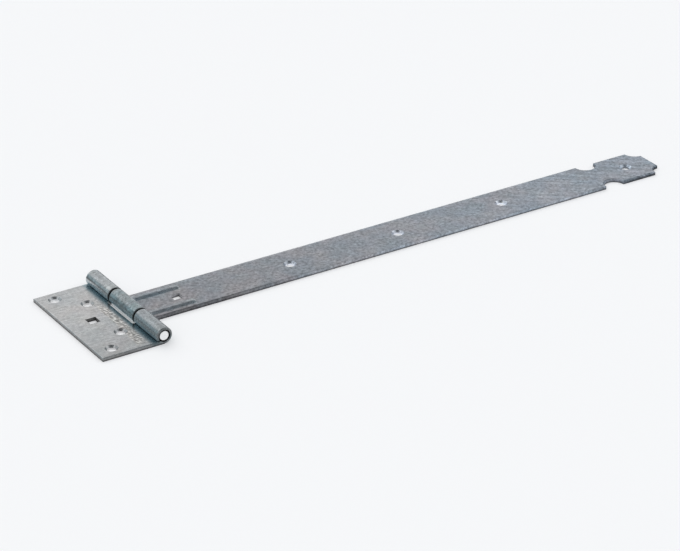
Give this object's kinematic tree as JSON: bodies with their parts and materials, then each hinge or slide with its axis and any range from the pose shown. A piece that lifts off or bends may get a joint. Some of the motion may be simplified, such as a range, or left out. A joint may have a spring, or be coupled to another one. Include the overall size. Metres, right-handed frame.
{
  "type": "tee hinge",
  "caption": "Tee hinge of zinc-plated sheet steel: a rectangular cross leaf and a long strap with a notched tip, each rolled round a common pin.",
  "frame": {"origin": "the point on the plane of both leaves' backs that lies under the middle of the pin's axis", "axes": "+X along the strap towards its tip, +Y along the pin, +Z out of the front of the leaves, away from what they are screwed to"},
  "size_m": [0.552, 0.112, 0.0133],
  "materials": {
    "leaf_steel": "zinc plated",
    "strap_steel": "zinc plated",
    "pin_steel": "bright zinc plated"
  },
  "bodies": {
    "post_side": {"cross_leaf": "leaf_steel", "hinge_pin": "pin_steel"},
    "door_side": {"strap_leaf": "strap_steel"}
  },
  "joints": [
    {"name": "strap_swing", "type": "hinge", "parent": "post_side", "child": "door_side", "pos_m": [0, 0, 0.00666], "axis": [0, -1, 0], "range_deg": [0, 180]}
  ]
}
